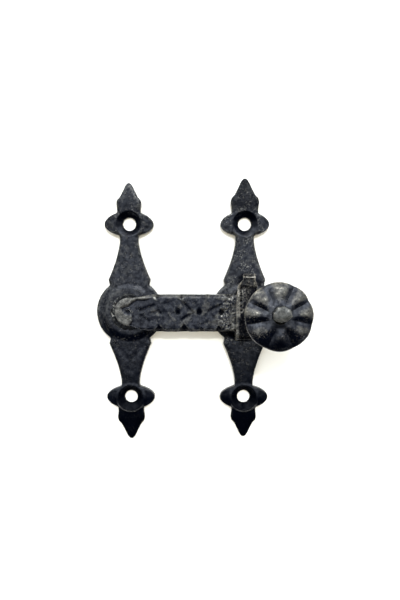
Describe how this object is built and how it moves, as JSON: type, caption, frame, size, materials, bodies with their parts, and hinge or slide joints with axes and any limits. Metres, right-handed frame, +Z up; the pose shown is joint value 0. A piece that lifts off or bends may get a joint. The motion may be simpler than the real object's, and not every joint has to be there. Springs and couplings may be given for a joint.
{
  "type": "drop bar latch",
  "caption": "Forged black drop-bar latch: a pivoting bar with a fluted knob falls into an open hook; two pointed back plates with countersunk screw holes.",
  "frame": {"origin": "on the bar's pivot axis, at the back face of the pivot plate", "axes": "+X along the bar towards the knob, +Y out of the plates' backs into the door, +Z up along the plates; the fronts face -Y"},
  "size_m": [0.0809, 0.0318, 0.1055],
  "materials": {
    "plate_iron": "blackened, satin, worn at the edges",
    "bar_iron": "blackened, hammered, worn at the edges",
    "knob_iron": "blackened, rubbed to grey-brown on the high parts",
    "rivet_iron": "blackened, hammered and rubbed"
  },
  "bodies": {
    "plates": {"pivot_plate": "plate_iron", "keeper_plate": "plate_iron", "pivot_washer": "rivet_iron", "pivot_rivet": "rivet_iron", "keeper_hook": "bar_iron"},
    "bar": {"latch_bar": "bar_iron", "knob_collar": "knob_iron", "knob_rosette": "knob_iron", "knob_rivet": "rivet_iron"}
  },
  "joints": [
    {"name": "bar_pivot", "type": "hinge", "parent": "plates", "child": "bar", "pos_m": [0, -0.0068, 0], "axis": [0, -1, 0], "range_deg": [0, 115]}
  ]
}
